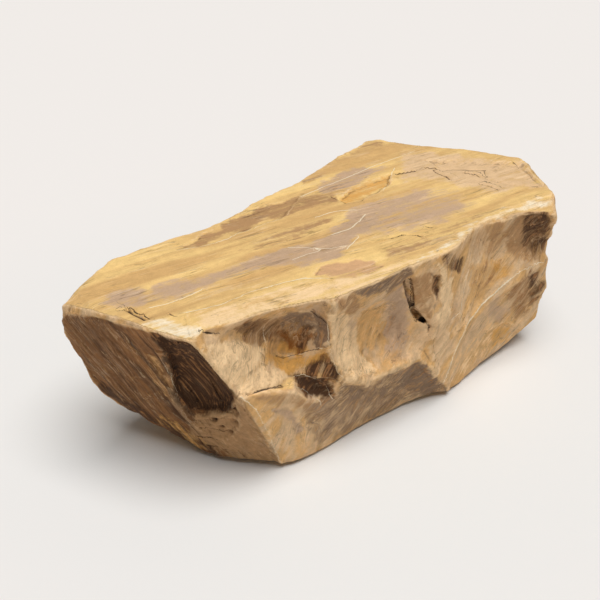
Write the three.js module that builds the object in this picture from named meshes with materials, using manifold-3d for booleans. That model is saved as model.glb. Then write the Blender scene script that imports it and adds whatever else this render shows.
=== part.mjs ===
// A sandstone boulder: a rough slab split from a bed, with flaked sides and an undercut left end.
// Millimetres, +Z up. X runs along the stone from its left end, and the flaked long side faces -Y.
// The origin is on the ground, under the middle of the stone.
import * as THREE from "three";
import { ConvexGeometry } from "three/addons/geometries/ConvexGeometry.js";
import { mergeVertices } from "three/addons/utils/BufferGeometryUtils.js";
import Module from "manifold-3d";

const wasm = await Module();
wasm.setup();

// Driving dimensions: the bedding plane on top, and the ground that the stone rests on.
const top = 285;
const ground = 0;
const clear = 170; // how far a flake's waste reaches out of the stone
const above = 292; // a height just over the top, where a flake took the rim with it

// The corners of the split block, before anything flaked off it.
const leftEdge = [
  [-371, 80, 281], [-385, 19, 283], [-367, -36, 284], [-356, -80, 284], [-337, -117, 281],
  [-401, 86, 268], [-403, 84, 252], [-391, 92, 215], [-362, 104, 150], [-339, 104, 95],
];
const frontRim = [
  [-136, -168, top], [-91, -173, top], [-15, -175, top], [74, -175, top], [284, -178, top], [314, -178, 283],
];
const rightRim = [
  [355, -129, top], [381, -87, top], [403, -38, top], [389, 3, top], [352, 50, top], [309, 125, top],
];
const backRim = [
  [290, 176, 283], [229, 172, 286], [-288, 117, top], [-318, 103, 284],
];
const frontBrow = [
  [-324, -126, 265], [-313, -131, 240], [-295, -136, 210], [-277, -139, 180], [-245, -135, 140],
  [-219, -128, 87], [-105, -158, 140], [-32, -158, 112], [22, -158, 112], [79, -158, 81], [127, -150, 12],
];
const rightBrow = [
  [325, -165, 225], [338, -152, 165], [354, -146, 111], [357, -132, 45],
];
const foot = [
  [-314, 103, 62], [-290, 80, 45], [-269, 36, 28], [-252, -13, 12], [-239, -43, 4],
  [-199, -88, ground], [-181, -112, ground], [-163, -120, ground], [-134, -121, ground],
  [48, -127, ground], [140, -139, ground], [223, -125, ground], [310, -110, ground],
  [370, -40, 30], [375, 40, 60], [300, 60, ground], [250, 130, ground], [-150, 120, ground],
  [-230, 60, ground], [290, 165, 120], [-280, 130, 150],
];

// What flaked off. The outline is the scar's edge on the block, the floor is its low points,
// and off is the way that the waste came away.
const front = [0, -clear, 0];
const flakes = {
  leftScar: {
    outline: [
      [-326, -113, above], [-239, -132, above], [-134, -169, above], [-331, -122, 268], [-323, -126, 250],
      [-309, -131, 224], [-291, -134, 194], [-281, -136, 178], [-252, -142, 168], [-226, -146, 158],
      [-120, -161, 185], [-112, -159, 148], [-190, -150, 148],
    ],
    floor: [[-206, -148, 260], [-182, -108, 222], [-176, -106, 192], [-178, -126, 162]],
    off: front,
  },
  leafScar: {
    outline: [
      [-191, -149, 160], [-181, -152, 172], [-150, -156, 170], [-116, -158, 142], [-116, -154, 105],
      [-150, -149, 108],
    ],
    floor: [[-160, -132, 150], [-138, -132, 130]],
    off: front,
  },
  middleScoop: {
    outline: [
      [-137, -168, above], [-142, -166, 254], [-140, -164, 228], [-136, -162, 202], [-127, -160, 178],
      [-106, -159, 142], [-79, -159, 126], [-55, -158, 111], [-13, -159, 117], [18, -160, 114],
      [45, -161, 112], [72, -161, 128], [62, -163, 170], [34, -168, 215], [10, -173, 260], [4, -175, above],
    ],
    floor: [
      [-66, -156, 235], [-58, -138, 180], [-40, -137, 145], [4, -138, 152], [14, -146, 190],
      [-6, -160, 240],
    ],
    off: front,
  },
  fissureTop: {
    outline: [
      [2, -174, 265], [8, -174, 264], [18, -168, 222], [24, -168, 219], [26, -166, 200], [32, -166, 196],
    ],
    floor: [[20, -122, 240], [34, -118, 206]],
    off: [0, -20, 0],
  },
  fissureFoot: {
    outline: [
      [26, -166, 204], [32, -166, 202], [37, -164, 184], [43, -164, 181], [63, -168, 158], [68, -168, 156],
    ],
    floor: [[42, -118, 196], [60, -124, 170]],
    off: [0, -20, 0],
  },
  rightScar: {
    outline: [
      [72, -174, above], [131, -159, above], [174, -152, above], [213, -156, above], [250, -162, above],
      [290, -180, above],
      [334, -164, 230], [336, -158, 196], [318, -160, 176], [262, -168, 184], [216, -168, 168],
      [174, -166, 152], [147, -164, 129], [130, -160, 89], [112, -160, 90], [96, -170, 170], [86, -174, 230],
    ],
    floor: [[166, -149, 232], [236, -143, 222], [292, -148, 216], [196, -154, 176], [140, -157, 140]],
    off: front,
  },
  rimBevel: {
    outline: [
      [100, -163, 286], [181, -147, 286], [226, -145, 286], [275, -144, 286], [352, -150, 286],
      [133, -162, 280], [181, -160, 274], [226, -163, 272], [275, -174, 268], [338, -182, 262],
    ],
    floor: [],
    off: [0, -60, 60],
  },
  lowerBand: {
    outline: [
      [-112, -160, 140], [-55, -160, 110], [-13, -161, 116], [45, -162, 111], [75, -160, 84],
      [100, -156, 49],
      [132, -144, 2], [-128, -130, 40], [-134, -122, -4], [60, -122, -4], [48, -122, 12],
    ],
    floor: [[-60, -119, -4], [20, -118, -4]],
    off: [0, -clear, -40],
  },
  lowerRight: {
    outline: [
      [136, -142, 2], [117, -157, 66], [147, -164, 129], [195, -167, 158], [262, -168, 180],
      [334, -160, 168],
      [352, -148, 120], [330, -140, 46], [300, -128, 16], [240, -132, 12],
    ],
    floor: [[190, -140, 96], [250, -140, 110], [310, -142, 120]],
    off: front,
  },
  rightNotch: {
    outline: [[318, -166, 196], [330, -170, 168], [350, -150, 150], [352, -140, 196], [330, -160, 214]],
    floor: [[332, -142, 182]],
    off: [80, -80, 0],
  },
  endRecess: {
    outline: [
      [-338, -57, 226], [-326, -53, 197], [-315, -44, 167], [-303, -31, 131], [-291, -33, 106],
      [-282, -37, 90], [-277, -61, 100], [-272, -94, 122], [-274, -123, 158], [-277, -136, 177],
      [-286, -136, 194], [-304, -133, 225], [-319, -127, 252], [-327, -124, 268], [-341, -106, 274],
    ],
    floor: [[-304, -72, 206], [-284, -78, 160], [-272, -70, 130], [-296, -104, 206]],
    off: [-clear, -40, -70],
  },
  backHollow: {
    outline: [
      [-288, 118, above], [-190, 115, above], [-137, 109, above], [-33, 126, above], [31, 131, above],
      [79, 138, above],
      [190, 167, above], [150, 168, 200], [40, 158, 150], [-110, 142, 140], [-240, 134, 200],
    ],
    floor: [[-120, 104, 230], [40, 126, 220]],
    off: [0, clear, 20],
  },
  backScar: {
    outline: [
      [-70, 150, 236], [10, 158, 262], [110, 168, 250], [168, 170, 190], [150, 160, 110],
      [60, 146, 56], [-40, 138, 60], [-96, 140, 150],
    ],
    floor: [[20, 112, 190], [60, 116, 130], [110, 132, 180]],
    off: [-30, clear, 0],
  },
  backLeftScar: {
    outline: [
      [-262, 132, 236], [-180, 134, 250], [-96, 142, 214], [-70, 140, 120], [-110, 128, 34],
      [-200, 120, 52], [-280, 128, 120], [-296, 128, 190],
    ],
    floor: [[-190, 96, 190], [-150, 102, 120], [-220, 100, 110]],
    off: [10, clear, -30],
  },
  backRightScar: {
    outline: [
      [176, 172, 262], [262, 180, 270], [318, 170, 220], [322, 150, 130], [280, 146, 50],
      [200, 140, 40], [158, 158, 120],
    ],
    floor: [[240, 138, 210], [230, 124, 110]],
    off: [40, clear, -20],
  },
  rightEndScar: {
    outline: [
      [404, -60, 268], [400, -10, 258], [392, 24, 190], [384, 20, 100], [376, -34, 62],
      [364, -110, 74], [370, -124, 150], [384, -110, 240],
    ],
    floor: [[366, -50, 200], [350, -60, 130], [352, -20, 110]],
    off: [clear, -20, 0],
  },
  rightBackScar: {
    outline: [
      [392, 20, 286], [356, 60, 292], [312, 130, 280], [318, 150, 200], [336, 110, 100],
      [366, 60, 70], [388, 30, 150],
    ],
    floor: [[346, 62, 250], [334, 80, 180]],
    off: [clear, 90, 30],
  },
};

function solidOf(geometry) {
  geometry.deleteAttribute("normal");
  geometry.deleteAttribute("uv");
  const merged = mergeVertices(geometry, 1e-3);
  return new wasm.Manifold(
    new wasm.Mesh({
      numProp: 3,
      vertProperties: merged.attributes.position.array,
      triVerts: new Uint32Array(merged.index.array),
    }),
  );
}

function geometryOf(solid) {
  const mesh = solid.getMesh();
  const geometry = new THREE.BufferGeometry();
  geometry.setAttribute("position", new THREE.BufferAttribute(new Float32Array(mesh.vertProperties), 3));
  geometry.setIndex(new THREE.BufferAttribute(mesh.triVerts, 1));
  geometry.computeVertexNormals();
  return geometry;
}

function hullOf(points) {
  return solidOf(new ConvexGeometry(points.map((point) => new THREE.Vector3(...point))));
}

function splitBlock() {
  return hullOf([leftEdge, frontRim, rightRim, backRim, frontBrow, rightBrow, foot].flat());
}

function waste({ outline, floor, off }) {
  const away = outline.map(([x, y, z]) => [x + off[0], y + off[1], z + off[2]]);
  return hullOf([...outline, ...floor, ...away]);
}

let stone = splitBlock();
for (const flake of Object.values(flakes)) stone = stone.subtract(waste(flake));

const boulder = new THREE.Mesh(
  geometryOf(stone),
  new THREE.MeshStandardMaterial({ color: 0xc9a26b, roughness: 0.9, metalness: 0 }),
);
boulder.name = "boulder";

const root = new THREE.Group();
root.add(boulder);
export default root;
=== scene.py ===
"""A sandstone boulder on a pale studio floor: its broken surface, its banded finish and the stage."""
import itertools
import math

import bmesh
import bpy
import numpy as np
from bpy.props import FloatProperty, FloatVectorProperty, IntProperty, PointerProperty
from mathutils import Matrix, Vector
from mathutils.bvhtree import BVHTree


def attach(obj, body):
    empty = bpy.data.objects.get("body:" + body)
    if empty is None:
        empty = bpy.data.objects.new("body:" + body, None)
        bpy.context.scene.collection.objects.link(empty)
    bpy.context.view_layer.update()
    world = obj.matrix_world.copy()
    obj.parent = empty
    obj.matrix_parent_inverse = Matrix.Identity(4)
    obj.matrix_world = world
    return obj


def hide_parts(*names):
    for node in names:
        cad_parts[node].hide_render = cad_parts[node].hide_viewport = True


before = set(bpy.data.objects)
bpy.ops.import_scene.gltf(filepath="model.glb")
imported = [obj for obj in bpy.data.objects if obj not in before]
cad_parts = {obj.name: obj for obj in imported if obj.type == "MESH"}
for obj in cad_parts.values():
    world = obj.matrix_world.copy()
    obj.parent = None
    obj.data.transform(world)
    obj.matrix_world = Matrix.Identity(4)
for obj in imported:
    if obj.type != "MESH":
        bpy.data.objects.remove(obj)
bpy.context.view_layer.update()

bl_info = {
    "name": "Sandstone boulder",
    "version": (1, 0, 0),
    "blender": (4, 5, 0),
    "location": "3D View > Sidebar > Boulder",
    "description": "Breaks, bands and stages a sandstone boulder around its packed frame",
    "category": "Object",
}

NODE = "boulder"
SLOT = "sandstone"
MM = 0.001

# The camera that the stone was measured with. Picture points below are pixels of its 600 by 600 frame.
CAMERA_PLACE = Vector((-1.1679, -1.2471, 1.1455))
CAMERA_AZIMUTH = math.radians(-42)
CAMERA_ELEVATION = math.radians(30)
PICTURE_SIDE = 600
SENSOR = 36.0
LENS = 78.0

# How the left end faces, and which way its layers run down it.
END_FACING = np.array([-0.85, -0.33, -0.40])
END_GRAIN = np.array([0.47, -0.16, -0.87])
FRONT_GRAIN = np.array([0.55, 0.0, 0.83])

# Outlines that stand in more than one table below, in picture points.
RUST_SCAR = [(340, 199), (352, 188), (372, 182), (390, 175), (388, 184), (376, 193), (360, 199), (346, 203)]
RED_LENS = [
    (313, 276), (318, 268), (335, 262), (355, 259), (375, 262), (384, 266), (372, 273), (350, 279),
    (330, 279),
]
PALE_WEDGE = [(452, 372), (462, 344), (482, 318), (500, 326), (498, 345), (470, 372)]

# Colour patches of each face: pigment, softness in pixels, strength, outline in picture points. Some are
# painted light and some painted shade, as marked.
TOP_PATCHES = [
    ("brown", 8, 0.45, [(236, 248), (280, 225), (312, 226), (305, 240), (262, 252)]),
    ("brown", 8, 0.35, [(380, 248), (430, 230), (480, 210), (505, 203), (480, 222), (440, 246),
        (395, 264)]),
    ("brown", 3, 0.7, [(178, 250), (200, 238), (225, 224), (262, 208), (300, 197), (335, 190), (338, 200),
        (300, 212), (283, 217), (262, 222), (240, 232), (216, 243), (195, 248)]),
    ("mauve", 7, 0.8, [(95, 303), (112, 291), (130, 287), (146, 288), (152, 297), (142, 307), (118, 309)]),
    ("mauve", 7, 0.9, [(150, 296), (165, 284), (200, 276), (225, 268), (250, 262), (262, 268), (230, 276),
        (200, 288), (170, 299), (152, 303)]),
    ("mauve", 6, 1, [(236, 262), (270, 252), (300, 243), (330, 232), (360, 212), (376, 208), (380, 222),
        (352, 240), (340, 256), (310, 262), (270, 268), (245, 270)]),
    ("mauve", 10, 0.65, [(350, 205), (380, 196), (420, 190), (460, 192), (470, 205), (450, 222), (420, 228),
        (390, 232), (365, 236), (355, 225)]),
    ("mauve", 4, 0.7, [(318, 186), (340, 172), (365, 165), (385, 168), (372, 178), (345, 192), (325, 196)]),
    ("brown", 5, 0.4, [(300, 212), (330, 198), (350, 205), (345, 215), (320, 228), (295, 238), (285, 230)]),
    ("terracotta", 2.5, 0.7, RED_LENS),
    ("rust", 2.5, 0.6, RUST_SCAR),
    ("sand", 7, 0.5, [(190, 313), (240, 300), (285, 285), (330, 281), (385, 270), (440, 250), (440, 254),
        (385, 278), (333, 299), (285, 311), (240, 322), (205, 330)]),
    ("cream", 5, 0.5, [(136, 320), (150, 318), (200, 326), (206, 344), (190, 340), (160, 331), (140, 325)]),
    ("tan", 8, 0.8, [(400, 150), (420, 150), (460, 155), (520, 160), (545, 185), (500, 192), (440, 180),
        (400, 182)]),
    # Painted shade on the back shoulder, which slopes away from the light.
    ("brown", 2.5, 0.55, [(300, 181), (330, 163), (350, 150), (368, 138), (380, 138), (386, 145),
        (370, 152), (345, 163), (320, 176), (302, 186)]),
]
FRONT_PATCHES = [
    # Painted light: the lit left part of the left scar.
    ("sand", 5, 1, [(203, 345), (225, 340), (262, 346), (262, 372), (248, 396), (238, 392), (222, 374)]),
    ("sand", 6, 0.7, [(244, 372), (280, 366), (292, 378), (286, 390), (262, 394), (250, 392)]),
    ("umber_and_shade", 8, 0.5, [(232, 324), (262, 319), (280, 318), (280, 330), (260, 342), (240, 338)]),
    ("brown", 3, 0.8, [(234, 324), (262, 319), (280, 318), (280, 332), (262, 346), (244, 343), (238, 334)]),
    ("gold", 5, 0.8, [(262, 334), (290, 334), (302, 352), (284, 357), (264, 368), (258, 352)]),
    # Painted shade in the pocket under the rim: the grey-brown, brown and umber patches and the grey-brown
    # on its right wall are shade, and the amber is its orange with painted shade in it; the rust is its
    # stain.
    ("greybrown", 3, 0.9, [(276, 320), (298, 311), (313, 313), (316, 328), (298, 332), (280, 331)]),
    ("brown", 8, 0.7, [(274, 326), (296, 318), (306, 330), (304, 350), (284, 350), (274, 340)]),
    ("amber", 7, 0.8, [(282, 332), (300, 326), (313, 330), (315, 346), (304, 352), (286, 350)]),
    ("umber_and_shade", 7, 0.75, [(300, 322), (312, 320), (316, 345), (306, 352), (296, 348), (300, 334)]),
    ("rust", 4, 0.8, [(280, 340), (300, 344), (314, 342), (312, 352), (286, 355), (276, 350)]),
    ("greybrown", 3, 0.9, [(313, 308), (327, 318), (329, 345), (316, 349), (312, 330)]),
    ("rust", 4, 0.8, [(266, 352), (284, 358), (330, 352), (331, 362), (304, 368), (286, 378), (270, 366)]),
    ("amber", 6, 0.45, [(298, 366), (328, 352), (338, 366), (336, 392), (310, 384), (288, 378)]),
    # The dark leaf: dark brown stain with painted shade in its hollow.
    ("umber_and_shade", 6, 0.7, [(300, 368), (328, 354), (339, 368), (338, 384), (322, 378), (306, 374)]),
    ("umber_and_shade", 6, 0.95, [(288, 376), (300, 373), (316, 377), (334, 390), (336, 402), (318, 401),
        (303, 393)]),
    ("brown", 5, 0.5, [(250, 397), (290, 388), (312, 402), (320, 422), (300, 412), (272, 404)]),
    ("mauve", 4, 0.8, [(272, 408), (284, 408), (304, 430), (298, 438), (286, 424)]),
    ("greybrown", 6, 0.6, [(302, 402), (334, 398), (344, 405), (340, 436), (318, 448), (306, 430)]),
    # Painted light: the lit left wall of the middle scoop.
    ("sand", 6, 0.9, [(333, 314), (352, 316), (358, 340), (372, 374), (350, 378), (336, 362), (331, 335)]),
    ("brown", 4, 0.7, [(334, 300), (358, 291), (360, 316), (350, 318), (340, 309)]),
    ("gold", 8, 0.8, [(360, 305), (384, 302), (388, 340), (372, 352), (360, 336)]),
    # Painted shade: the right wall of the middle scoop, which faces away from the light, in grey-brown and
    # grey-mauve.
    ("greybrown", 9, 0.3, [(386, 296), (404, 288), (406, 320), (400, 346), (388, 346)]),
    ("mauve", 6, 0.95, [(384, 294), (406, 286), (408, 320), (404, 350), (386, 352), (384, 325)]),
    ("greybrown", 3, 0.8, [(356, 290), (385, 278), (408, 268), (409, 282), (388, 291), (362, 297)]),
    ("brown", 3, 0.7, [(411, 276), (430, 270), (438, 282), (434, 300), (430, 320), (418, 314), (412, 300)]),
    # Painted shade in the groove between the chunk and the column.
    ("umber_and_shade", 5, 0.6, [(433, 274), (442, 278), (443, 292), (439, 301), (434, 292)]),
    # Painted shade in the pits of the rough area under the rim.
    ("umber_and_shade", 4, 0.55, [(441, 250), (449, 249), (462, 258), (464, 266), (460, 273), (450, 270),
        (445, 260)]),
    ("sand", 3, 1, [(440, 262), (448, 270), (451, 290), (448, 315), (436, 330), (442, 300), (443, 280)]),
    ("tan", 6, 0.7, [(432, 320), (452, 312), (452, 340), (444, 368), (434, 356)]),
    ("umber_and_shade", 9, 0.3, [(402, 376), (414, 366), (428, 366), (438, 381), (428, 392), (408, 390)]),
    ("greybrown", 3, 1, [(400, 374), (412, 362), (428, 364), (438, 380), (446, 391), (430, 394), (410, 392),
        (398, 386)]),
    ("greybrown", 5, 0.65, [(343, 382), (367, 386), (390, 373), (415, 366), (440, 391), (415, 401),
        (380, 416), (340, 438), (335, 410)]),
    ("gold", 6, 0.7, [(470, 262), (500, 256), (520, 264), (500, 284), (482, 298), (466, 308)]),
    ("brown", 9, 0.4, [(466, 262), (512, 254), (516, 268), (490, 290), (470, 300)]),
    ("amber", 9, 0.2, [(470, 262), (512, 254), (516, 268), (490, 290), (474, 300)]),
    ("amber", 9, 0.3, [(506, 282), (530, 272), (540, 264), (540, 296), (526, 318), (508, 318)]),
    ("rust", 5, 0.6, [(492, 262), (506, 262), (505, 276), (496, 282)]),
    ("brown", 6, 0.55, [(464, 238), (500, 220), (516, 214), (514, 244), (492, 254), (470, 258)]),
    ("brown", 8, 0.9, [(506, 214), (550, 207), (547, 240), (541, 260), (528, 264), (508, 250)]),
    ("umber_and_shade", 8, 0.7, [(520, 214), (550, 207), (547, 236), (541, 254), (532, 258), (522, 244)]),
    ("sand", 7, 0.35, PALE_WEDGE),
    ("gold", 7, 0.5, PALE_WEDGE),
    ("mauve", 5, 0.7, [(486, 300), (500, 296), (508, 310), (498, 322), (486, 318)]),
    ("brown", 5, 0.7, [(508, 284), (528, 272), (534, 300), (526, 320), (510, 318)]),
    ("umber_and_shade", 8, 0.6, [(524, 270), (542, 262), (544, 290), (536, 308), (526, 296)]),
    ("rust", 3, 0.6, [(495, 330), (508, 326), (514, 332), (505, 342), (492, 350)]),
]
END_PATCHES = [
    # Painted shade: the end face's deep recess, darkened with umber.
    ("umber_and_shade", 3, 0.95, [(150, 330), (163, 358), (170, 372), (173, 385), (176, 400), (185, 410), (205, 412),
        (228, 411), (238, 398), (220, 373), (207, 356), (200, 347), (185, 341)]),
    ("umber_and_shade", 10, 0.35, [(60, 306), (85, 300), (112, 320), (116, 346), (90, 356), (68, 335)]),
    ("greybrown", 6, 0.35, [(60, 310), (80, 300), (110, 322), (140, 370), (120, 390), (90, 365),
        (68, 335)]),
    ("gold", 5, 0.35, [(145, 355), (162, 362), (172, 390), (178, 408), (160, 400), (148, 378)]),
    ("brown", 5, 0.9, [(190, 416), (236, 408), (240, 424), (236, 450), (206, 448), (190, 430)]),
    ("brown", 5, 1, [(238, 396), (262, 422), (282, 464), (226, 460), (232, 426)]),
    ("rust", 3, 0.45, [(160, 412), (185, 424), (212, 444), (204, 450), (180, 436), (158, 422)]),
    ("umber_and_shade", 2.5, 0.8, [(90, 370), (120, 398), (160, 418), (160, 426), (118, 406), (98, 388)]),
]
# The pale front-right rim: cream with a painted highlight along it.
PALE_RIM_AND_HIGHLIGHT = [
    ("cream", 4, 0.75, [(415, 263), (440, 249), (480, 222), (500, 212), (540, 197), (554, 200), (553, 206),
        (515, 211), (480, 223), (445, 248)]),
]
PATCHES = {"top": TOP_PATCHES, "front": FRONT_PATCHES, "end": END_PATCHES, "any": PALE_RIM_AND_HIGHLIGHT}

# Pale veins: width in millimetres, route in picture points.
VEINS = [
    (2, [(178, 250), (200, 246), (216, 242), (228, 238), (240, 231), (255, 226), (268, 221), (282, 218)]),
    (1.6, [(146, 308), (165, 304), (185, 297), (205, 289)]),
    (2.6, [(185, 313), (205, 309), (222, 305), (240, 298), (252, 292), (268, 288), (285, 282), (305, 278),
        (330, 279)]),
    (1.6, [(300, 197), (320, 188), (345, 178), (372, 167), (400, 157), (415, 151)]),
    (1.8, [(315, 218), (330, 213), (341, 211), (355, 210)]),
    (2.2, [(328, 236), (340, 232), (350, 229), (361, 219), (366, 213)]),
    (1.6, [(345, 251), (355, 241), (360, 236)]),
    (1.3, [(286, 247), (309, 248), (330, 249), (345, 246)]),
    (1.3, [(292, 260), (305, 255), (330, 248)]),
    (1.6, [(383, 191), (391, 175), (395, 168)]),
    (2.2, [(240, 396), (248, 402), (256, 410), (262, 422), (268, 432), (272, 443), (278, 455), (282, 464)]),
    (1.2, [(265, 326), (264, 345), (261, 363)]),
    (1.3, [(163, 358), (170, 372), (173, 385), (176, 400), (185, 412), (192, 420)]),
    (3.6, [(443, 382), (455, 350), (466, 325), (480, 306), (500, 288), (520, 270), (530, 265), (541, 261)]),
    (1.6, [(460, 320), (463, 295), (466, 273), (470, 262)]),
    (1.2, [(447, 330), (455, 318), (461, 310)]),
    (1.6, [(284, 356), (300, 355), (320, 348), (330, 347)]),
    (1.2, [(292, 377), (303, 374), (316, 380), (328, 392), (333, 400)]),
    (1.2, [(296, 385), (308, 390), (318, 398), (322, 406)]),
    (1.4, [(333, 300), (328, 320), (328, 335), (330, 352), (338, 372), (343, 378)]),
]

# Open cracks: width and depth in millimetres, route in picture points.
CRACKS = [
    (4.5, 6, [(408, 280), (410, 290), (411, 300), (413, 312), (418, 319), (425, 323), (431, 328)]),
    (2, 2, [(335, 297), (337, 301), (340, 307)]),
    (2, 2, [(311, 312), (318, 318), (327, 322)]),
    (3, 4, [(395, 174), (405, 172), (416, 170)]),
    (3.2, 5, [(425, 167), (437, 168), (455, 167), (470, 168), (484, 168), (487, 175)]),
    (5, 9, [(464, 171), (472, 172), (482, 175), (499, 180), (519, 184), (539, 185)]),
    (2.5, 3, [(433, 169), (438, 173), (446, 176), (451, 180)]),
    (2.2, 3, [(479, 183), (491, 186), (499, 190)]),
    (2, 2, [(512, 162), (520, 166), (529, 167)]),
    (2.5, 3, [(389, 238), (403, 234), (416, 235), (423, 237)]),
    (2, 2, [(425, 226), (433, 228)]),
    (2.5, 3, [(331, 196), (340, 200), (348, 202), (363, 200)]),
    (5, 8, [(127, 307), (131, 309), (136, 312), (141, 314), (148, 318)]),
    (1.8, 2, [(116, 310), (127, 308)]),
    (2, 2, [(169, 313), (176, 316)]),
    (3.2, 5, [(197, 331), (207, 333), (218, 332)]),
    (3, 3, [(247, 394), (256, 392), (270, 388), (285, 385)]),
    (2.4, 3, [(277, 355), (284, 357), (300, 354), (320, 349)]),
    (2.2, 3, [(197, 421), (210, 422), (225, 420)]),
    (2.2, 3, [(200, 429), (215, 431), (228, 433)]),
    (1.8, 2.5, [(196, 437), (212, 438), (222, 441)]),
    (1.8, 2.5, [(206, 446), (218, 448)]),
]

# Small holes in the left end: radius and depth in millimetres, picture point.
HOLES = [
    (9.0, 14.0, (229, 412)),
    (6.0, 9.0, (212, 421)),
    (6.0, 9.0, (233, 423)),
    (5.0, 7.0, (230, 433)),
    (5.0, 7.0, (222, 430)),
]

# Where the foot stands higher off the ground: height and reach in millimetres, picture point.
LIFTS = [(8.0, 110.0, (250, 455)), (8.0, 70.0, (432, 388))]

# Hollows (below 0) and raised plates of each face: height in millimetres, softness in pixels, outline.
TOP_RELIEF = [
    (-4, 1.5, RUST_SCAR),
    (-2, 1.5, RED_LENS),
    (-4, 1.5, [(425, 160), (470, 160), (520, 163), (545, 185), (519, 184), (499, 180), (482, 175),
        (466, 172), (440, 169)]),
    (1.5, 1.5, [(185, 313), (222, 305), (252, 292), (285, 282), (330, 279), (350, 310), (285, 330),
        (240, 340), (195, 350)]),
    (-2, 1.5, [(178, 250), (216, 242), (240, 231), (282, 218), (300, 197), (262, 207), (205, 233)]),
]
FRONT_RELIEF = [
    (-7, 12, [(278, 322), (300, 316), (324, 312), (328, 335), (318, 350), (300, 354), (280, 350)]),
    (-4, 9, [(290, 378), (316, 374), (332, 386), (336, 400), (318, 402), (302, 394)]),
    (-3, 8, [(228, 330), (258, 323), (280, 320), (280, 345), (262, 352), (240, 342)]),
    (-7, 12, [(340, 320), (360, 308), (388, 305), (396, 330), (385, 352), (365, 362), (348, 350)]),
    (-3, 4, [(441, 252), (460, 252), (464, 262), (461, 274), (450, 270), (444, 262)]),
    (-3, 3, [(433, 275), (442, 279), (443, 292), (438, 300), (434, 290)]),
    (-3, 5, [(515, 217), (550, 210), (546, 240), (540, 258), (520, 262), (512, 245)]),
    (-4, 5, [(480, 240), (505, 228), (512, 246), (500, 262), (484, 262)]),
    (-2.5, 4, [(272, 410), (286, 410), (302, 428), (298, 438), (284, 426)]),
]
END_RELIEF = [
    (-11, 4, [(160, 340), (168, 358), (173, 372), (176, 385), (180, 400), (188, 410), (205, 415),
        (224, 411), (232, 399), (216, 373), (204, 358), (196, 349), (185, 344)]),
    (-4, 2, [(192, 422), (225, 418), (236, 406), (238, 426), (226, 440), (202, 434)]),
]
RELIEF = {"top": TOP_RELIEF, "front": FRONT_RELIEF, "end": END_RELIEF}

# Sharp ridges: height and width in millimetres, route in picture points.
RIDGES = [
    (4, 14, [(333, 300), (328, 320), (329, 350), (333, 362), (343, 378)]),
    (6, 12, [(343, 378), (357, 378), (367, 384), (378, 376), (390, 368), (405, 362), (418, 357), (430, 366),
        (436, 374)]),
    (4, 10, [(440, 252), (443, 280), (440, 300), (434, 325), (430, 345), (432, 362)]),
    (1.5, 5, [(446, 378), (455, 350), (466, 325), (480, 306), (500, 288), (520, 270), (540, 262)]),
    (3.5, 10, [(240, 396), (256, 410), (262, 422), (268, 432), (272, 443), (278, 455), (281, 463)]),
    (2.5, 7, [(487, 332), (494, 326), (500, 322), (505, 320), (515, 326)]),
    (4, 10, [(160, 350), (166, 360), (170, 372), (173, 385), (176, 400), (185, 412), (192, 420)]),
    (3, 8, [(201, 347), (207, 358), (220, 373), (239, 395)]),
    (2.5, 6, [(277, 355), (284, 358), (300, 355), (320, 349), (330, 348)]),
    (1.8, 5, [(247, 395), (265, 391), (285, 386)]),
    (1.8, 6, [(458, 330), (460, 305), (463, 290), (467, 270)]),
    (1.8, 6, [(264, 330), (264, 345), (261, 363)]),
    (2.5, 6, [(300, 312), (312, 316), (326, 322)]),
]

# The pigments of the patches, from the lowest to the one on top.
PIGMENTS = (
    "tan", "gold", "sand", "mauve", "greybrown", "brown", "rust", "amber", "umber_and_shade", "cream", "terracotta",
)

# How far a surface turns each way, as a cosine, before it starts to count and counts in full.
TOPWARDS = (0.72, 0.84)
DOWNWARDS = (0.90, 0.97)
ENDWARDS = (0.80, 0.90)
FRONTWARDS = (0.2, 0.4)
LEVELWARDS = (0.10, 0.45)
IN_SIGHT = (0.0, 0.15)

# How far left the layered end starts and is whole, in millimetres.
END_SPAN = (150, 200)

# Flake scars: depth and size in millimetres, stretch along the grain, seed.
WIDE_SCARS = (7.0, 85, 1.8, 21)
MIDDLE_SCARS = (4.0, 34, 2.2, 22)
SMALL_SCARS = (2.2, 14, 2.0, 23)
END_SCARS = ((3.0, 24, 7.0, 24), (2.0, 11, 8.0, 25))
SCAR_BEND = 14
SCAR_CURL = 45

# How far creases are eased, where that stops by the fissure, and where the flanks leave the foot, in mm.
CREASE_EASE = 0.4
FISSURE_SPAN = (6, 30)
FOOT_SPAN = (5, 70)

# Half the stone's length and width in metres, the share of the swell that the top takes and of the
# roughness that it lacks, and how much the hollows' outlines are torn.
HALF_SIZE = np.array([0.40, 0.18])
TOP_SWELL = 0.25
TOP_CALM = 0.75
RELIEF_TEAR = 0.35

# The bands on the top: their turn from the stone's length, and their length, width and depth in mm.
BAND_TURN = math.radians(-9)
BAND_SIZE = (260, 42, 42)

# The finish's noise scales, in waves per metre, and how far its curl bends the streaks, in metres.
CURL_SCALE = 9.0
CHOICE_SCALE = 7.0
CLOUD_SCALE = 13.0
GATE_SCALE = 22.0
MOTTLE_SCALE = 60.0
SPECKLE_SCALE = 420.0
BEND = 0.030
EASY_BEND = 0.014

# How rough and shiny the stone and the floor are, and how deep the finish's bumps go, in metres.
STONE_ROUGHNESS = 0.86
STONE_SHINE = 0.25
FLOOR_ROUGHNESS = 0.9
FLOOR_SHINE = 0.1
BUMP_DEPTH = 0.004

# Where the floor's painted shade by the stone starts and stops fading, in metres from the middle.
NEAR_SPAN = (0.2, 0.9)

# Bands, threads and the calm field: their length and width against a streak's, detail and roughness.
STREAK_KINDS = ((1.0, 1.0, 5.0, 0.6), (0.9, 0.22, 4.0, 0.6), (1.3, 0.5, 2.0, 0.45))

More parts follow.
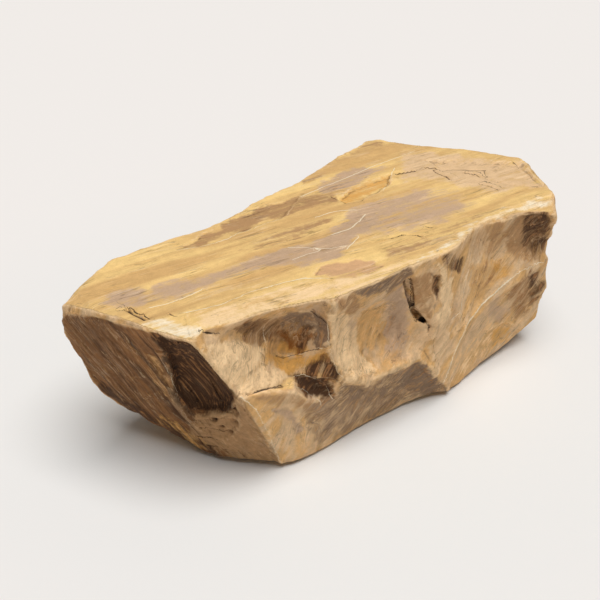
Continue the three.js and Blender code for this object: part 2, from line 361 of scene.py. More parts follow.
# Streaks: bend, grain, and length and width in metres, for the top, two kinds of flank and the end.
STREAKS = (
    (EASY_BEND, (0.988, -0.156, 0), 0.30, 0.034),
    (BEND, (0.35, 0, 0.94), 0.12, 0.030),
    (BEND, (0.80, 0, 0.60), 0.16, 0.030),
    (EASY_BEND, tuple(END_GRAIN), 0.26, 0.014),
)


def lengths(vectors):
    return np.linalg.norm(vectors, axis=1)


def shuffled(order, cell):
    """An entry of the shuffled order for each cell of an endless grid."""
    last = len(order) - 1
    x, y, z = (cell & last).T
    return order[(order[(order[x] + y) & last] + z) & last]


def noise(points, seed):
    """Smooth noise of about -1 to 1 at each row of points; one seed always gives one field."""
    draw = np.random.default_rng(seed)
    order = draw.permutation(256)
    slopes = draw.normal(size=(256, 3))
    slopes /= lengths(slopes)[:, None]
    cell = np.floor(points).astype(int)
    inside = points - cell
    fade = inside**3 * (inside * (inside * 6 - 15) + 10)
    total = np.zeros(len(points))
    for corner in itertools.product((0, 1), repeat=3):
        step = np.array(corner)
        weight = np.where(step, fade, 1 - fade).prod(axis=1)
        total += weight * (slopes[shuffled(order, cell + step)] * (inside - step)).sum(axis=1)
    return total * 1.6


def layered_noise(points, period, octaves, seed):
    """Noise with finer and fainter copies of itself; period is in the units of points."""
    total = np.zeros(len(points))
    strength = 1.0
    for octave in range(octaves):
        total += strength * noise(points * (2**octave / period) + 7.3 * octave, seed + octave)
        strength *= 0.5
    return total


def ease(value, low, high):
    """Runs smoothly from 0 to 1 as the value runs from low to high."""
    share = np.clip((value - low) / (high - low), 0, 1)
    return share * share * (3 - 2 * share)


def picture_axes():
    """The camera's directions to the right, up and ahead."""
    level = math.cos(CAMERA_ELEVATION)
    ahead = Vector((
        -math.sin(CAMERA_AZIMUTH) * level,
        math.cos(CAMERA_AZIMUTH) * level,
        -math.sin(CAMERA_ELEVATION),
    ))
    right = ahead.cross(Vector((0, 0, 1))).normalized()
    return right, right.cross(ahead), ahead


def in_picture(points):
    """Picture coordinates of points given in metres."""
    right, up, ahead = (np.array(axis) for axis in picture_axes())
    away = points - np.array(CAMERA_PLACE)
    scale = LENS / SENSOR * PICTURE_SIDE / (away @ ahead)
    return PICTURE_SIDE / 2 + np.stack([scale * (away @ right), -scale * (away @ up)], axis=1)


def onto_stone(tree, route):
    """Where the camera's rays through picture points meet the stone, in millimetres."""
    right, up, ahead = picture_axes()
    reach = SENSOR / LENS / PICTURE_SIDE
    hits = []
    for x, y in np.array(route) - PICTURE_SIDE / 2:
        ray = ahead + right * (x * reach) - up * (y * reach)
        hit = tree.ray_cast(CAMERA_PLACE, ray.normalized())[0]
        if hit:
            hits.append(np.array(hit) / MM)
    return hits


def outline_depth(places, outline):
    """How far inside an outline each place is, in its own units; outside is negative."""
    corners = np.array(outline, float)
    inside = np.zeros(len(places), bool)
    nearest = np.full(len(places), 1e9)
    for start, end in zip(corners, np.roll(corners, -1, axis=0)):
        along = end - start
        offset = places - start
        share = np.clip(offset @ along / (along @ along), 0, 1)
        nearest = np.minimum(nearest, lengths(offset - share[:, None] * along))
        rises = (start[1] <= places[:, 1]) != (end[1] <= places[:, 1])
        crossing = start[0] + (places[:, 1] - start[1]) * along[0] / (along[1] or 1)
        inside ^= rises & (places[:, 0] < crossing)
    return np.where(inside, nearest, -nearest)


def route_offset(skin, tree, route):
    """Each vertex's distance to a route, growing fast past its ends, and the side that it is on."""
    route = onto_stone(tree, route)
    nearest = np.full(len(skin.points), 1e9)
    side = np.ones(len(nearest))
    last = len(route) - 2
    for index, (start, end) in enumerate(zip(route, route[1:])):
        along = end - start
        offset = skin.points - start
        place = offset @ along / (along @ along)
        gap = lengths(offset - np.clip(place, 0, 1)[:, None] * along)
        past = ((index == 0) & (place < 0)) | ((index == last) & (place > 1))
        gap = np.where(past, 4 * gap, gap)
        closer = gap < nearest
        nearest = np.where(closer, gap, nearest)
        hand = np.sign((np.cross(along, offset) * skin.normals).sum(axis=1))
        side = np.where(closer, hand, side)
    return nearest, side


def read(items, name, width, kind=np.float32):
    """One property of every item, as rows of an array."""
    flat = np.empty(len(items) * width, kind)
    items.foreach_get(name, flat)
    return flat.reshape(-1, width)


class Skin:
    """The stone's surface as arrays, in millimetres."""

    def __init__(self, mesh):
        self.mesh = mesh
        self.points = read(mesh.vertices, "co", 3).astype(float) / MM
        self.ends = read(mesh.edges, "vertices", 2, np.int32)
        self.degree = np.bincount(self.ends.ravel(), minlength=len(self.points))[:, None]
        self.refresh()

    def refresh(self):
        """Writes the points to the mesh and reads the normals that follow from them."""
        self.mesh.vertices.foreach_set("co", (self.points * MM).astype(np.float32).ravel())
        self.mesh.update()
        self.normals = read(self.mesh.vertex_normals, "vector", 3).astype(float)

    def write(self, name, values):
        """Stores one value at each vertex, for the finish to read."""
        attribute = self.mesh.attributes.new(name, "FLOAT", "POINT")
        attribute.data.foreach_set("value", values.astype(np.float32))

    def around(self, values):
        """The mean of each vertex's neighbours."""
        a, b = self.ends.T
        columns = [
            np.bincount(a, values[b, axis], len(values)) + np.bincount(b, values[a, axis], len(values))
            for axis in range(values.shape[1])
        ]
        return np.stack(columns, axis=1) / self.degree

    def bend(self, rounds):
        """How much the surface stands out (above 0) or in (below 0), in millimetres."""
        mean = self.points
        for _ in range(rounds):
            mean = self.around(mean)
        return ((self.points - mean) * self.normals).sum(axis=1)

    def relax(self, rounds, shares):
        """Smooths the surface's hollows by a share at each vertex, and leaves its ridges."""
        for _ in range(rounds):
            pull = self.around(self.points) - self.points
            inward = (pull * self.normals).sum(axis=1)[:, None]
            self.points += pull * np.where(inward > 0, shares[:, None], 0.0)
            self.refresh()

    def push(self, heights):
        """Moves the surface in or out along its normals."""
        self.points += self.normals * heights[:, None]
        self.refresh()

    def spread(self, heights):
        """Moves the flanks in or out level with the ground, and the rim with them."""
        self.points += self.out * heights[:, None]
        self.refresh()


def scallops(points, size, seed):
    """Shallow bowls of about one size with sharp ridges between them: 0 in a bowl, 1 on a ridge."""
    draw = np.random.default_rng(seed)
    order = draw.permutation(1024)
    seats = draw.random((1024, 3))
    depths = draw.random(1024) * 0.35
    places = points / size
    cell = np.floor(places).astype(int)
    nearest = np.full(len(points), 9.0)
    for step in itertools.product((-1, 0, 1), repeat=3):
        at = cell + np.array(step)
        which = shuffled(order, at)
        offset = places - (at + seats[which])
        nearest = np.minimum(nearest, (offset**2).sum(axis=1) + depths[which])
    return nearest


def along_grain(points, grain, stretch):
    """Points squeezed along the grain, so that round shapes made in them come out long."""
    grain = np.array(grain) / np.linalg.norm(grain)
    return points - np.outer(points @ grain, grain) * (1 - 1 / stretch)


def placed(name, data):
    """A new object in the scene."""
    thing = bpy.data.objects.new(name, data)
    bpy.context.scene.collection.objects.link(thing)
    return thing


def merged_copy(node):
    """The CAD node's mesh as one joined skin, in a new object, and a tree to cast rays at it."""
    mesh = bpy.data.meshes.new("boulder_surface")
    shell = bmesh.new()
    shell.from_mesh(node.data)
    bmesh.ops.remove_doubles(shell, verts=shell.verts, dist=0.01 * MM)
    shell.to_mesh(mesh)
    shell.free()
    corners = [vertex.co for vertex in mesh.vertices]
    tree = BVHTree.FromPolygons(corners, [face.vertices for face in mesh.polygons])
    return placed("boulder_surface", mesh), tree


def apply_modifiers(piece):
    """Gives the piece the mesh that its modifiers make of it."""
    graph = bpy.context.evaluated_depsgraph_get()
    piece.data = bpy.data.meshes.new_from_object(piece.evaluated_get(graph))
    piece.modifiers.clear()
    return piece.data


def fine_net(piece, voxel):
    """Covers the piece with an even net of small faces."""
    net = piece.modifiers.new("Net", "REMESH")
    net.mode = "VOXEL"
    net.voxel_size = voxel
    return apply_modifiers(piece)


def thin_out(piece, most):
    """Merges the faces that add least, until there are no more than most triangles."""
    count = sum(len(face.vertices) - 2 for face in piece.data.polygons)
    thin = piece.modifiers.new("Thin", "DECIMATE")
    thin.ratio = min(1.0, most / count)
    return apply_modifiers(piece)


def averaged(skin, vectors, rounds):
    """Directions smoothed over the surface."""
    for _ in range(rounds):
        vectors = skin.around(vectors)
        vectors /= lengths(vectors)[:, None]
    return vectors


def find_faces(skin):
    """Marks where the surface faces up, down, to the end and to the front, and its level way out."""
    near = averaged(skin, skin.normals, 6)
    broad = averaged(skin, near, 26)
    flat = broad[:, :2]
    reach = lengths(flat) + 1e-6
    skin.out = np.zeros_like(broad)
    skin.out[:, :2] = flat / reach[:, None] * ease(reach, *LEVELWARDS)[:, None]
    skin.top = ease(near[:, 2], *TOPWARDS)
    skin.under = ease(-broad[:, 2], *DOWNWARDS)
    skin.layered = ease(broad @ END_FACING, *ENDWARDS) * ease(-skin.points[:, 0], *END_SPAN)
    skin.flank = (1 - skin.layered) * (1 - skin.under)
    skin.end = skin.layered * (1 - skin.top)
    plain = np.clip(1 - skin.top - skin.under - skin.end, 0, 1)
    towards = np.array(CAMERA_PLACE) / MM - skin.points
    towards /= lengths(towards)[:, None]
    seen = ease((broad * towards).sum(axis=1), *IN_SIGHT)
    skin.faces = {
        "top": skin.top * seen,
        "front": plain * ease(-broad[:, 1], *FRONTWARDS) * seen,
        "end": skin.end * seen,
        "any": seen,
    }


def scars(places, grain, depth, size, stretch, seed):
    """Flake scars of one size: 0 in a scar's middle, and about its depth on the ridges between scars."""
    return depth * scallops(along_grain(places, grain, stretch), size, seed)


def shape_surface(skin, tree, sizes):
    """Turns the faceted block into broken rock."""
    gap, _ = route_offset(skin, tree, CRACKS[0][2])
    skin.relax(sizes.crease_rounds, CREASE_EASE * ease(gap, *FISSURE_SPAN))
    skin.points[:, :2] *= 1 + sizes.growth / HALF_SIZE
    skin.refresh()
    find_faces(skin)
    picture = in_picture(skin.points * MM)

    swell = layered_noise(skin.points, sizes.swell_period / MM, 2, 11)
    skin.spread(swell * sizes.swell_height / MM)
    skin.push(swell * sizes.swell_height / MM * skin.top * TOP_SWELL)

    curls = [noise(skin.points / SCAR_CURL, seed) for seed in (81, 82, 83)]
    bent = skin.points + SCAR_BEND * np.stack(curls, axis=1)
    rough_parts = ease(noise(skin.points / 90, 84), -0.5, 0.5)
    broken = scars(bent, FRONT_GRAIN, *WIDE_SCARS)
    broken += scars(bent, FRONT_GRAIN, *MIDDLE_SCARS) * (0.3 + 0.7 * rough_parts)
    broken += scars(bent, FRONT_GRAIN, *SMALL_SCARS) * rough_parts
    above_foot = ease(skin.points[:, 2], *FOOT_SPAN)
    skin.spread((broken - np.mean(broken)) * skin.flank * above_foot)
    broken = sum(scars(bent, END_GRAIN, *kind) for kind in END_SCARS)
    skin.spread((broken - np.mean(broken)) * skin.layered)

    heights = np.zeros(len(skin.points))
    torn = picture + RELIEF_TEAR * torn_edges(skin.points)
    for face, table in RELIEF.items():
        for height, soft, outline in table:
            depth = outline_depth(torn, outline)
            heights += height * ease(depth, -soft, soft) * skin.faces[face]
    skin.push(heights)
    heights = np.zeros(len(skin.points))
    wobble = layered_noise(skin.points, 20, 2, 71)
    for height, width, route in RIDGES:
        gap, _ = route_offset(skin, tree, route)
        heights = np.maximum(heights, height * (1 + 0.4 * wobble) * np.clip(1 - gap / width, 0, 1))
    skin.push(heights)

    axes = (END_GRAIN, np.cross(END_FACING, END_GRAIN), END_FACING)
    run, step, level = (skin.points @ axis for axis in axes)
    wander = noise(np.stack([run / 90, step / 60, level / 60], axis=1), 31)
    coarse = noise(np.stack([run / 160, (step + 10 * wander) / 22, level / 80], axis=1), 32)
    fine = noise(np.stack([run / 90, (step + 6 * wander) / 8, level / 50], axis=1), 33)
    skin.push((coarse * 2.5 + (0.4 - np.abs(fine)) * 1.2) * skin.end)

    layers = layered_noise(bedding_places(skin.points), 1.0, 3, 41)
    terrace = np.round(layers * 3) / 3 * 0.7 + layers * 0.3
    skin.points[:, 2] += terrace * sizes.ledge_height / MM * skin.top
    skin.refresh()

    for width, depth, route in CRACKS:
        gap, _ = route_offset(skin, tree, route)
        skin.push(-depth * np.exp(-((gap / width) ** 2)))
    for radius, depth, place in HOLES:
        centre = onto_stone(tree, [place])[0]
        gap = lengths(skin.points - centre)
        skin.push(-depth * np.exp(-((gap / radius) ** 2)))

    rough = layered_noise(skin.points, 30, 4, 51)
    skin.push(rough * sizes.rough_height / MM * (1 - TOP_CALM * skin.top))
    lift_foot(skin, tree, sizes)


def lift_foot(skin, tree, sizes):
    """Flattens the underside and lifts its edge off the ground."""
    share = skin.under[:, None]
    for _ in range(sizes.foot_rounds):
        share = skin.around(share)
    inside = ease(share[:, 0], 0.55, 0.95)
    gap = np.full(len(skin.points), sizes.foot_gap / MM)
    for height, reach, place in LIFTS:
        away = lengths(skin.points - onto_stone(tree, [place])[0])
        gap += height * ease(away, reach, 0)
    floor = gap * (1 - inside)
    skin.points[:, 2] = np.where(skin.under > 0.5, floor, np.maximum(skin.points[:, 2], floor))
    skin.refresh()


def bedding_places(points):
    """Coordinates that follow the bands on the top: along them, across them and through them."""
    along = points[:, 0] * math.cos(BAND_TURN) + points[:, 1] * math.sin(BAND_TURN)
    across = -points[:, 0] * math.sin(BAND_TURN) + points[:, 1] * math.cos(BAND_TURN)
    return np.stack([along, across, points[:, 2]], axis=1) / BAND_SIZE


def torn_edges(points):
    """Shifts, in picture pixels, that tear the outlines of the colour patches."""
    wide = [noise(points / 34, seed) for seed in (61, 62)]
    tight = [noise(points / 11, seed) for seed in (63, 64)]
    return np.stack([6 * wide[0] + 3 * tight[0], 4 * wide[1] + 2 * tight[1]], axis=1)


def record_marks(skin, tree):
    """Stores where each pigment, vein and crack lies, some patches being painted light and shade, and how
    the surface faces and bends, which the finish uses for painted shade in hollows.
    """
    picture = in_picture(skin.points * MM) + torn_edges(skin.points)
    cover = {name: np.zeros(len(picture)) for name in PIGMENTS}
    for face, table in PATCHES.items():
        for pigment, soft, strength, outline in table:
            depth = outline_depth(picture, outline)
            share = ease(depth, -soft, soft) * strength * skin.faces[face]
            cover[pigment] = np.maximum(cover[pigment], share)
    for name, share in cover.items():
        skin.write(name, share)

    for name, routes in (("vein", VEINS), ("crack", [(width, route) for width, _, route in CRACKS])):
        nearest = np.full(len(picture), 1e3)
        offset = np.full(len(picture), 1e3)
        for width, route in routes:
            gap, side = route_offset(skin, tree, route)
            closer = gap / width < nearest
            offset = np.where(closer, gap * side / width, offset)
            nearest = np.where(closer, gap / width, nearest)
        skin.write(name, np.clip(offset, -30, 30))
        skin.write(name + "_near", 1 - ease(nearest, 3, 7))

    skin.write("top_face", skin.top)
    skin.write("end_face", skin.end)
    skin.write("edge", np.clip(skin.bend(2) / 0.5, -1, 1))
    skin.write("relief", np.clip(skin.bend(10) / 3.0, -1, 1))


class Wiring:
    """Adds nodes to a material and joins them up."""

    def __init__(self, material):
        self.tree = material.node_tree

    def add(self, kind, **settings):
        node = self.tree.nodes.new(kind)
        for name, value in settings.items():
            setattr(node, name, value)
        return node

    def feed(self, socket, value):
        if isinstance(value, bpy.types.NodeSocket):
            self.tree.links.new(value, socket)
        else:
            socket.default_value = value

    def attribute(self, name):
        return self.add("ShaderNodeAttribute", attribute_name=name).outputs["Fac"]

    def make(self, kind, *values, **settings):
        """Adds a node, feeds its inputs in their order and gives its first output."""
        node = self.add(kind, **settings)
        for socket, value in zip(node.inputs, values):
            if value is not None:
                self.feed(socket, value)
        return node.outputs[0]

    def along(self, where, grain, long, wide):
        """Coordinates that run slowly along the grain and fast across it."""
        turn = Vector(grain).to_track_quat("X", "Z").to_euler()
        sizes = (long, wide, wide)
        return self.make("ShaderNodeMapping", where, None, turn, sizes, vector_type="TEXTURE")

    def shift(self, where, by, amount):
        """Moves coordinates by a colour around mid grey."""
        centred = self.make("ShaderNodeVectorMath", by, (0.5, 0.5, 0.5), operation="SUBTRACT")
        reach = (amount, amount, amount)
        return self.make("ShaderNodeVectorMath", centred, reach, where, operation="MULTIPLY_ADD")

    def noise(self, where, scale, detail, rough=0.55, kind="FBM", output="Fac"):
        node = self.add("ShaderNodeTexNoise", noise_type=kind)
        settings = {"Vector": where, "Scale": scale, "Detail": detail, "Roughness": rough}
        for name, value in settings.items():
            self.feed(node.inputs[name], value)
        return node.outputs[output]

    def mix(self, share, under, over):
        return self.make("ShaderNodeMix", share, None, under, over, data_type="FLOAT")

    def sum(self, kind, a, b=0.0, c=0.0):
        return self.make("ShaderNodeMath", a, b, c, operation=kind)

    def times(self, a, b):
        return self.sum("MULTIPLY", a, b)

    def scaled(self, value, by, plus):
        return self.sum("MULTIPLY_ADD", value, by, plus)

    def ease(self, value, low, high, start=0.0, end=1.0):
        """Runs smoothly from start to end as the value runs from low to high."""
        steps = (value, low, high, start, end)
        return self.make("ShaderNodeMapRange", *steps, interpolation_type="SMOOTHSTEP")

    def contour(self, value, level, reach):
        """Thin lines where a noise crosses a level."""
        away = self.sum("ABSOLUTE", self.sum("SUBTRACT", value, level))
        return self.ease(away, reach, 0.0)

    def blend(self, share, under, over, kind="MIX"):
        node = self.add("ShaderNodeMix", data_type="RGBA", blend_type=kind)
        values = {"Factor_Float": share, "A_Color": opaque(under), "B_Color": opaque(over)}
        for name, value in values.items():
            self.feed(next(each for each in node.inputs if each.identifier == name), value)
        return next(each for each in node.outputs if each.identifier == "Result_Color")


def opaque(colour):
    """A colour with its alpha; a socket stays as it is."""
    return colour if isinstance(colour, bpy.types.NodeSocket) else (*colour, 1.0)


def new_finish(name, roughness, shine):
    """A new material, its wiring and its shader."""
    material = bpy.data.materials.new(name)
    material.use_nodes = True
    shader = material.node_tree.nodes["Principled BSDF"]
    shader.inputs["Roughness"].default_value = roughness
    shader.inputs["Specular IOR Level"].default_value = shine
    return material, Wiring(material), shader


def streak_noises(wire, places, grain, long, wide):
    """Three noises along one grain: broad bands, fine threads, and the calm field that hairlines follow."""
    return [
        wire.noise(wire.along(places, grain, long * longer, wide * wider), 1.0, detail, rough)
        for longer, wider, detail, rough in STREAK_KINDS
    ]


def stone_finish(colours):
    """Banded golden sandstone with stains, veins, cracks, pale broken edges and grain, and painted shade in
    its cracks, creases and hollows.
    """
    material, wire, shader = new_finish(SLOT, STONE_ROUGHNESS, STONE_SHINE)
    where = wire.add("ShaderNodeTexCoord").outputs["Object"]
    curl = wire.noise(where, CURL_SCALE, 3.0, 0.5, output="Color")
    bent = wire.shift(where, curl, BEND)
    streaks = [streak_noises(wire, wire.shift(where, curl, bend), *form) for bend, *form in STREAKS]
    cloud = wire.noise(where, CLOUD_SCALE, 4.0, 0.6)
    mottle = wire.noise(bent, MOTTLE_SCALE, 6.0, 0.7)
    speckle = wire.noise(where, SPECKLE_SCALE, 3.0, 0.7)

    stored = ("top_face", "end_face", "edge", "relief")
    top, end, edge, relief = (wire.attribute(name) for name in stored)
    choice = wire.ease(wire.noise(where, CHOICE_SCALE, 2.0), 0.46, 0.54)
    band, thread, hair = (
        wire.mix(top, wire.mix(end, wire.mix(choice, steep, slant), layer), bed)
        for bed, steep, slant, layer in zip(*streaks)
    )

    tops = wire.blend(wire.ease(band, 0.36, 0.64), colours.deep_gold, colours.yellow)
    sides = wire.blend(wire.ease(band, 0.42, 0.60), colours.tan, colours.gold)
    sides = wire.blend(wire.ease(cloud, 0.55, 0.70, 0.0, 0.6), sides, colours.mauve)
    ends = wire.blend(wire.ease(band, 0.32, 0.62), colours.umber_and_shade, colours.end_brown)
    colour = wire.blend(end, wire.blend(top, sides, tops), ends)

    ragged_line = wire.scaled(mottle, 1.6, -0.8)
    ragged = wire.scaled(band, 1.6, wire.scaled(mottle, 1.2, -2.1))
    ragged = wire.scaled(thread, 1.4, ragged)
    threads = wire.ease(thread, 0.50, 0.66)
    streaky = {
        "umber_and_shade": wire.blend(threads, colours.umber_and_shade, colours.end_brown),
        "greybrown": wire.blend(threads, colours.greybrown, colours.brown),
    }
    for pigment in PIGMENTS:
        share = wire.attribute(pigment)
        torn = wire.ease(wire.sum("ADD", share, ragged), 0.20, 0.80)
        share = wire.times(torn, wire.ease(share, 0.0, 0.25))
        colour = wire.blend(share, colour, streaky.get(pigment) or getattr(colours, pigment))

    # Lines are kept out of the umber patches, which are partly painted shade, and out of the cracks.
    dark = wire.times(wire.attribute("umber_and_shade"), 0.8)
    clear = wire.sum("SUBTRACT", 1.0, wire.sum("MAXIMUM", dark, wire.attribute("crack_near")))
    gate = wire.ease(wire.noise(where, GATE_SCALE, 3.0), 0.42, 0.60)
    lines = (
        (hair, 0.57, 0.022, 0.45, colours.sand),
        (hair, 0.42, 0.020, 0.40, colours.umber_and_shade),
        (hair, 0.50, 0.016, 0.35, colours.rust),
        (thread, 0.60, 0.030, 0.20, colours.vein),
        (band, 0.53, 0.010, 0.40, colours.umber_and_shade),
    )
    for field, level, reach, amount, shade in lines:
        line = wire.times(wire.contour(field, level, reach), wire.times(gate, amount))
        colour = wire.blend(wire.times(line, clear), colour, shade)
    pale = wire.ease(wire.scaled(mottle, 0.6, edge), 0.5, 1.3)
    pale = wire.times(wire.times(pale, wire.mix(end, 0.6, 0.2)), clear)
    colour = wire.blend(pale, colour, colours.sand)
    # Painted shade: creases and hollows darkened towards umber.
    crease_shade = wire.ease(wire.scaled(edge, -1.0, wire.times(relief, -0.5)), 0.25, 1.3)
    colour = wire.blend(wire.times(crease_shade, 0.5), colour, colours.umber_and_shade)
    # Painted shade: the deepest hollows darkened to the near-black of the cracks.
    recess_shade = wire.ease(wire.times(relief, -1.0), 0.5, 1.0, 0.0, 0.9)
    colour = wire.blend(recess_shade, colour, colours.crack)

    # Pale veins, and open cracks painted near black as the shade inside them.
    marks = (("vein", 0.55, colours.vein, 0.8), ("crack", 0.6, colours.crack, 0.9))
    for name, reach, shade, amount in marks:
        offset = wire.sum("ABSOLUTE", wire.sum("ADD", wire.attribute(name), ragged_line))
        line = wire.times(wire.ease(offset, reach, reach * 0.5), wire.attribute(name + "_near"))
        colour = wire.blend(wire.times(line, amount), colour, shade)

    fine_tones = wire.ease(thread, 0.36, 0.64, -0.05, 0.05)
    value = wire.sum("ADD", fine_tones, wire.ease(mottle, 0.36, 0.64, -0.11, 0.11))
    speckled = wire.ease(speckle, 0.3, 0.7, 0.95, 1.05)
    value = wire.scaled(value, wire.mix(top, 1.0, 0.5), speckled)
    tone = wire.make("ShaderNodeCombineColor", value, value, value)
    wire.feed(shader.inputs["Base Color"], wire.blend(1.0, colour, tone, "MULTIPLY"))

    chips = wire.noise(wire.along(bent, FRONT_GRAIN, 0.040, 0.022), 1.0, 6.0, 0.5, "RIDGED_MULTIFRACTAL")
    height = wire.scaled(chips, 0.35, wire.times(mottle, 1.3))
    height = wire.scaled(thread, wire.mix(end, 0.2, 0.6), height)
    height = wire.scaled(band, 0.6, height)
    calm = wire.mix(top, 1.0, 0.35)
    height = wire.scaled(height, calm, wire.times(speckle, 0.12))
    bump = wire.add("ShaderNodeBump")
    bump.inputs["Strength"].default_value = 1.0
    bump.inputs["Distance"].default_value = BUMP_DEPTH
    wire.feed(bump.inputs["Height"], height)
    wire.feed(shader.inputs["Normal"], bump.outputs["Normal"])
    return material


def length(label, about, default):
    return FloatProperty(
        name=label, description=about, default=default, min=0, subtype="DISTANCE", unit="LENGTH")


def tint(label, about, default):
    return FloatVectorProperty(
        name=label, description=about, default=default, size=3, min=0, max=1, subtype="COLOR")


def angle(label, about, degrees):
    return FloatProperty(name=label, description=about, default=math.radians(degrees), subtype="ANGLE")


def power(label, about, default):
    return FloatProperty(name=label, description=about, default=default)


def number(label, about, default):
    return IntProperty(name=label, description=about, default=default)


class BoulderSizes(bpy.types.PropertyGroup):
    """How coarse or fine the broken surface is."""

    net: length("Net", "Side of the small faces that the surface is worked in", 0.0022)
    most_faces: number("Most faces", "Triangles that are kept of them", 190000)
    crease_rounds: number("Crease rounds", "Rounds of easing inside the scars", 60)
    growth: length("Growth", "How far the flanks stand out to make up for what breaks off", 0.0022)
    foot_rounds: number("Foot rounds", "How far in that gap reaches, in faces", 240)
    foot_gap: length("Foot gap", "How far the edge of the underside lifts off the ground", 0.0060)
    swell_period: length("Swell spacing", "Spacing of the slow swells", 0.110)
    swell_height: length("Swell height", "Height of the slow swells", 0.004)
    ledge_height: length("Ledge height", "Height of the bedding ledges on the top", 0.0014)
    rough_height: length("Roughness height", "Height of the small roughness on the flanks", 0.0011)


class BoulderColours(bpy.types.PropertyGroup):
    """The pigments of the stone, as linear colours."""

    # Besides their own colours, brown, grey-brown, mauve and amber paint shade, sand paints the light on
    # lit walls and cream a highlight on the rim, in the patches so marked.
    yellow: tint("Yellow", "Light bands on the top", (0.90, 0.61, 0.24))
    gold: tint("Gold", "Warm flanks", (0.72, 0.42, 0.165))
    deep_gold: tint("Deep gold", "Darker bands on the top", (0.68, 0.415, 0.165))
    tan: tint("Tan", "Plain flanks", (0.74, 0.50, 0.28))
    end_brown: tint("End brown", "Layers of the undercut end", (0.34, 0.155, 0.055))
    mauve: tint("Mauve", "Grey-mauve bands", (0.56, 0.375, 0.235))
    brown: tint("Brown", "Brown bands and stains", (0.45, 0.255, 0.115))
    greybrown: tint("Grey-brown", "The band under the middle scoop", (0.27, 0.175, 0.108))
    rust: tint("Rust", "Iron stains", (0.70, 0.37, 0.10))
    amber: tint("Amber", "Dark orange stains", (0.27, 0.105, 0.022))
    # Umber is the stone's dark stain and also painted shade in hollows, creases, recesses and grooves.
    umber_and_shade: tint("Umber", "Dark stains and hollows", (0.080, 0.036, 0.015))
    sand: tint("Sand", "Pale warm faces", (0.90, 0.63, 0.35))
    cream: tint("Cream", "Fresh broken edges", (0.90, 0.76, 0.55))
    terracotta: tint("Terracotta", "The reddish lens on the top", (0.66, 0.39, 0.20))
    vein: tint("Vein", "Thin pale veins", (0.92, 0.80, 0.58))
    # Crack is painted shade: near black in open cracks and in the deepest hollows.
    crack: tint("Crack", "Open cracks", (0.030, 0.016, 0.010))


class BoulderStage(bpy.types.PropertyGroup):
    """The floor and the light."""

    floor_side: length("Floor side", "Side of the floor", 16.0)
    floor_tone: tint("Floor tone", "The floor's colour", (0.85, 0.812, 0.78))
    # Painted shade: the floor is darker by the stone.
    near_shade_tone: tint("Near tone", "The floor's colour by the stone", (0.79, 0.785, 0.765))
    sky_tone: tint("Sky tone", "The colour of the light from all round", (1.0, 1.0, 1.0))
    sky_power: power("Sky power", "Strength of the light from all round", 0.12)
    key_power: power("Key power", "Strength of the key light", 3.05)
    key_spread: angle("Key spread", "How wide the key light is", 43)
    key_azimuth: angle("Key azimuth", "Where the key light stands", -111)
    key_height: angle("Key height", "How high the key light stands", 72)


class BOULDER_OT_break_stone(bpy.types.Operator):
    """Make the stone's broken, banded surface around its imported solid"""

    bl_idname = "boulder.break_stone"
    bl_label = "Break stone"

    def execute(self, context):
        sizes = context.scene.boulder_sizes
        piece, tree = merged_copy(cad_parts[NODE])
        skin = Skin(fine_net(piece, sizes.net))
        shape_surface(skin, tree, sizes)
        record_marks(skin, tree)
        thin_out(piece, sizes.most_faces)
        piece.data.materials.clear()
        piece.data.materials.append(stone_finish(context.scene.boulder_colours))
        piece.data.shade_smooth()
        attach(piece, "root")
        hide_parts(NODE)
        return {"FINISHED"}


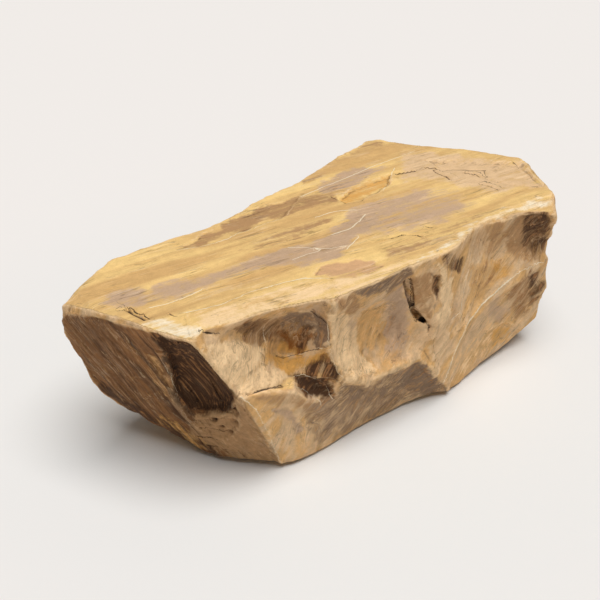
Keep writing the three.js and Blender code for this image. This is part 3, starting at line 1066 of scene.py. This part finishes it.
class BOULDER_OT_set_stage(bpy.types.Operator):
    """Lay the pale floor and place the camera and the soft light"""

    bl_idname = "boulder.set_stage"
    bl_label = "Set stage"

    def execute(self, context):
        stage = context.scene.boulder_stage
        sheet = bmesh.new()
        bmesh.ops.create_grid(sheet, x_segments=1, y_segments=1, size=stage.floor_side / 2)
        mesh = bpy.data.meshes.new("floor")
        sheet.to_mesh(mesh)
        sheet.free()
        floor = placed("floor", mesh)
        paint, wire, shader = new_finish("floor_paint", FLOOR_ROUGHNESS, FLOOR_SHINE)
        away = wire.add("ShaderNodeVectorMath", operation="LENGTH")
        wire.feed(away.inputs[0], wire.add("ShaderNodeTexCoord").outputs["Object"])
        # Painted shade: the floor fades from its darker tone by the stone to its own tone further out.
        far = wire.ease(away.outputs["Value"], *NEAR_SPAN)
        wire.feed(shader.inputs["Base Color"], wire.blend(far, stage.near_shade_tone, stage.floor_tone))
        mesh.materials.append(paint)

        lens = bpy.data.cameras.new("camera")
        lens.lens = LENS
        lens.sensor_width = SENSOR
        camera = placed("camera", lens)
        camera.location = CAMERA_PLACE
        camera.rotation_mode = "QUATERNION"
        camera.rotation_quaternion = picture_axes()[2].to_track_quat("-Z", "Y")
        context.scene.camera = camera

        key = bpy.data.lights.new("key", "SUN")
        key.energy = stage.key_power
        key.angle = stage.key_spread
        lamp = placed("key", key)
        lamp.rotation_mode = "QUATERNION"
        level = math.cos(stage.key_height)
        east = math.cos(stage.key_azimuth) * level
        north = math.sin(stage.key_azimuth) * level
        lamp.rotation_quaternion = Vector((east, north, math.sin(stage.key_height))).to_track_quat("Z", "Y")

        world = bpy.data.worlds.new("studio")
        world.use_nodes = True
        sky = world.node_tree.nodes["Background"]
        sky.inputs["Color"].default_value = opaque(stage.sky_tone)
        sky.inputs["Strength"].default_value = stage.sky_power
        context.scene.world = world
        context.scene.view_settings.view_transform = "Standard"
        return {"FINISHED"}


class BOULDER_PT_panel(bpy.types.Panel):
    """The boulder's sizes, colours and steps"""

    bl_idname = "BOULDER_PT_panel"
    bl_label = "Boulder"
    bl_space_type = "VIEW_3D"
    bl_region_type = "UI"
    bl_category = "Boulder"

    def draw(self, context):
        for name in GROUPS:
            group = getattr(context.scene, name)
            box = self.layout.box()
            for field in type(group).__annotations__:
                box.prop(group, field)
        for step in OPERATORS:
            self.layout.operator(step.bl_idname)


GROUPS = {
    "boulder_sizes": BoulderSizes,
    "boulder_colours": BoulderColours,
    "boulder_stage": BoulderStage,
}
OPERATORS = (BOULDER_OT_break_stone, BOULDER_OT_set_stage)
CLASSES = (*GROUPS.values(), *OPERATORS, BOULDER_PT_panel)


def register():
    for each in CLASSES:
        bpy.utils.register_class(each)
    for name, group in GROUPS.items():
        setattr(bpy.types.Scene, name, PointerProperty(type=group))


def unregister():
    for name in GROUPS:
        delattr(bpy.types.Scene, name)
    for each in reversed(CLASSES):
        bpy.utils.unregister_class(each)


def main():
    register()
    bpy.ops.boulder.break_stone()
    bpy.ops.boulder.set_stage()


if __name__ == "__main__":
    main()
